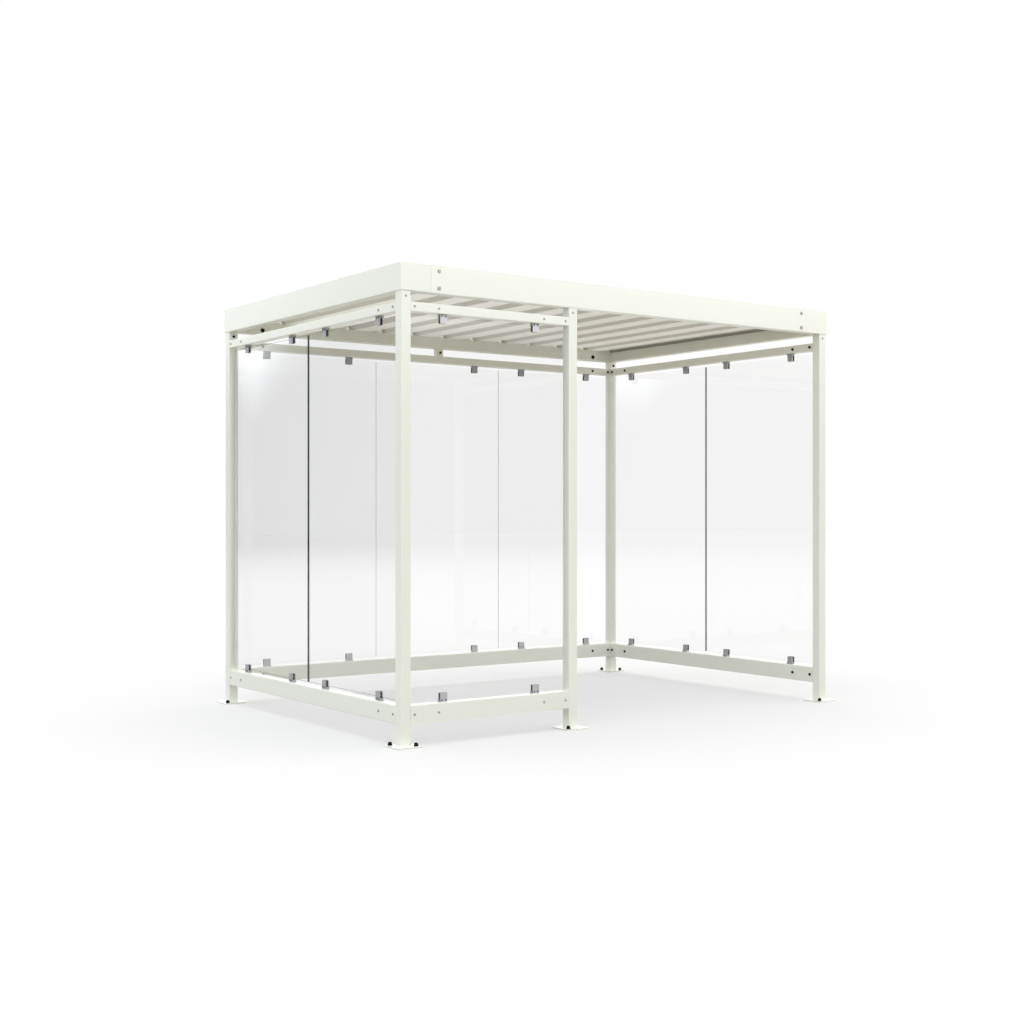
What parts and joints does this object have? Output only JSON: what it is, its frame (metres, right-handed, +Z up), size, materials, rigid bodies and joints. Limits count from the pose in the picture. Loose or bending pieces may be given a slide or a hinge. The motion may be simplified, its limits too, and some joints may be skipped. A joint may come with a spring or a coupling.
{
  "type": "smoking shelter",
  "caption": "Open-fronted smoking shelter: bolted square-tube frame on base plates, clamped clear glass walls and a flat trapezoidal-sheet roof set inside a deep folded gutter beam.",
  "frame": {"origin": "middle of the footprint at floor level, on the underside of the base plates", "axes": "+X along the front to the right, +Y from the open front to the back wall, +Z up"},
  "size_m": [3.33, 2.296, 2.548],
  "materials": {
    "frame_paint": "satin powder coat, off-white",
    "beam_paint": "satin powder coat, off-white",
    "sheet_coating": "coil-coated steel sheet, off-white",
    "clear_glass": "clear toughened glass",
    "clamp_metal": "matt stainless casting",
    "pad_rubber": "black rubber"
  },
  "bodies": {
    "root": {"post_front_left": "frame_paint", "post_front_middle": "frame_paint", "post_front_right": "frame_paint", "post_back_left": "frame_paint", "post_back_right": "frame_paint", "base_plate_front_left": "frame_paint", "base_plate_front_middle": "frame_paint", "base_plate_front_right": "frame_paint", "base_plate_back_left": "frame_paint", "base_plate_back_right": "frame_paint", "low_rail_front": "frame_paint", "low_rail_left": "frame_paint", "low_rail_back": "frame_paint", "low_rail_right": "frame_paint", "top_rail_front": "frame_paint", "top_rail_left": "frame_paint", "top_rail_back": "frame_paint", "top_rail_right": "frame_paint", "back_prop": "frame_paint", "roof_beam_front": "beam_paint", "roof_beam_back": "beam_paint", "roof_beam_left": "beam_paint", "roof_beam_right": "beam_paint", "beam_splices": "beam_paint", "roof_sheet": "sheet_coating", "pane_front": "clear_glass", "pane_left_front": "clear_glass", "pane_left_back": "clear_glass", "pane_back_left": "clear_glass", "pane_back_middle": "clear_glass", "pane_back_right": "clear_glass", "pane_right_front": "clear_glass", "pane_right_back": "clear_glass", "clamp_bodies_front": "clamp_metal", "clamp_bodies_left": "clamp_metal", "clamp_bodies_back": "clamp_metal", "clamp_bodies_right": "clamp_metal", "clamp_plates_front": "clamp_metal", "clamp_plates_left": "clamp_metal", "clamp_plates_back": "clamp_metal", "clamp_plates_right": "clamp_metal", "clamp_pads_front": "pad_rubber", "clamp_pads_left": "pad_rubber", "clamp_pads_back": "pad_rubber", "clamp_pads_right": "pad_rubber"}
  },
  "joints": []
}
